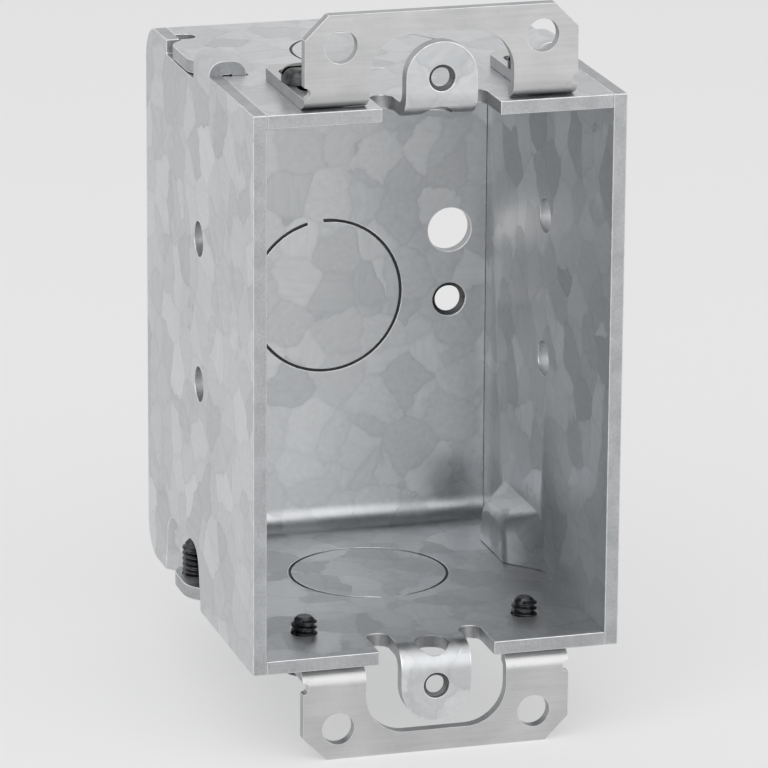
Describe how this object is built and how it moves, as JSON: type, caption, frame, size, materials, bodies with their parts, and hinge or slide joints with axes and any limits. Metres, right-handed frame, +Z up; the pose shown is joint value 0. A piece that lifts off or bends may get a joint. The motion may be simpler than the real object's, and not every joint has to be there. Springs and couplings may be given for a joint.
{
  "type": "switch box",
  "caption": "Gangable sheet-steel switch box: open front, hooked side plates held by set screws, sheared knockouts, tapped device lugs and sliding plaster ears.",
  "frame": {"origin": "middle of the open front, in the plane of its front edges, which is also the middle of the four ear holes", "axes": "+X to the right seen from the front, +Y from the open front to the back wall, +Z up"},
  "size_m": [0.0518, 0.0571, 0.1016],
  "materials": {
    "galvanised_sheet": "hot-dip galvanised sheet steel with a faint spangle and sheared edges",
    "plated_ear": "zinc-plated steel strip, satin",
    "black_screw": "black-oxide steel machine screw"
  },
  "bodies": {
    "box": {"box_body": "galvanised_sheet", "left_side_plate": "galvanised_sheet", "right_side_plate": "galvanised_sheet", "upper_left_ear_screw": "black_screw", "upper_right_ear_screw": "black_screw", "lower_left_ear_screw": "black_screw", "lower_right_ear_screw": "black_screw", "left_retaining_screw": "black_screw", "right_retaining_screw": "black_screw"},
    "upper_ear": {"upper_ear": "plated_ear"},
    "lower_ear": {"lower_ear": "plated_ear"}
  },
  "joints": [
    {"name": "upper_ear_slide", "type": "slide", "parent": "box", "child": "upper_ear", "axis": [0, -1, 0], "range_m": [-0.004, 0.006]},
    {"name": "lower_ear_slide", "type": "slide", "parent": "box", "child": "lower_ear", "axis": [0, -1, 0], "range_m": [-0.004, 0.006]}
  ]
}
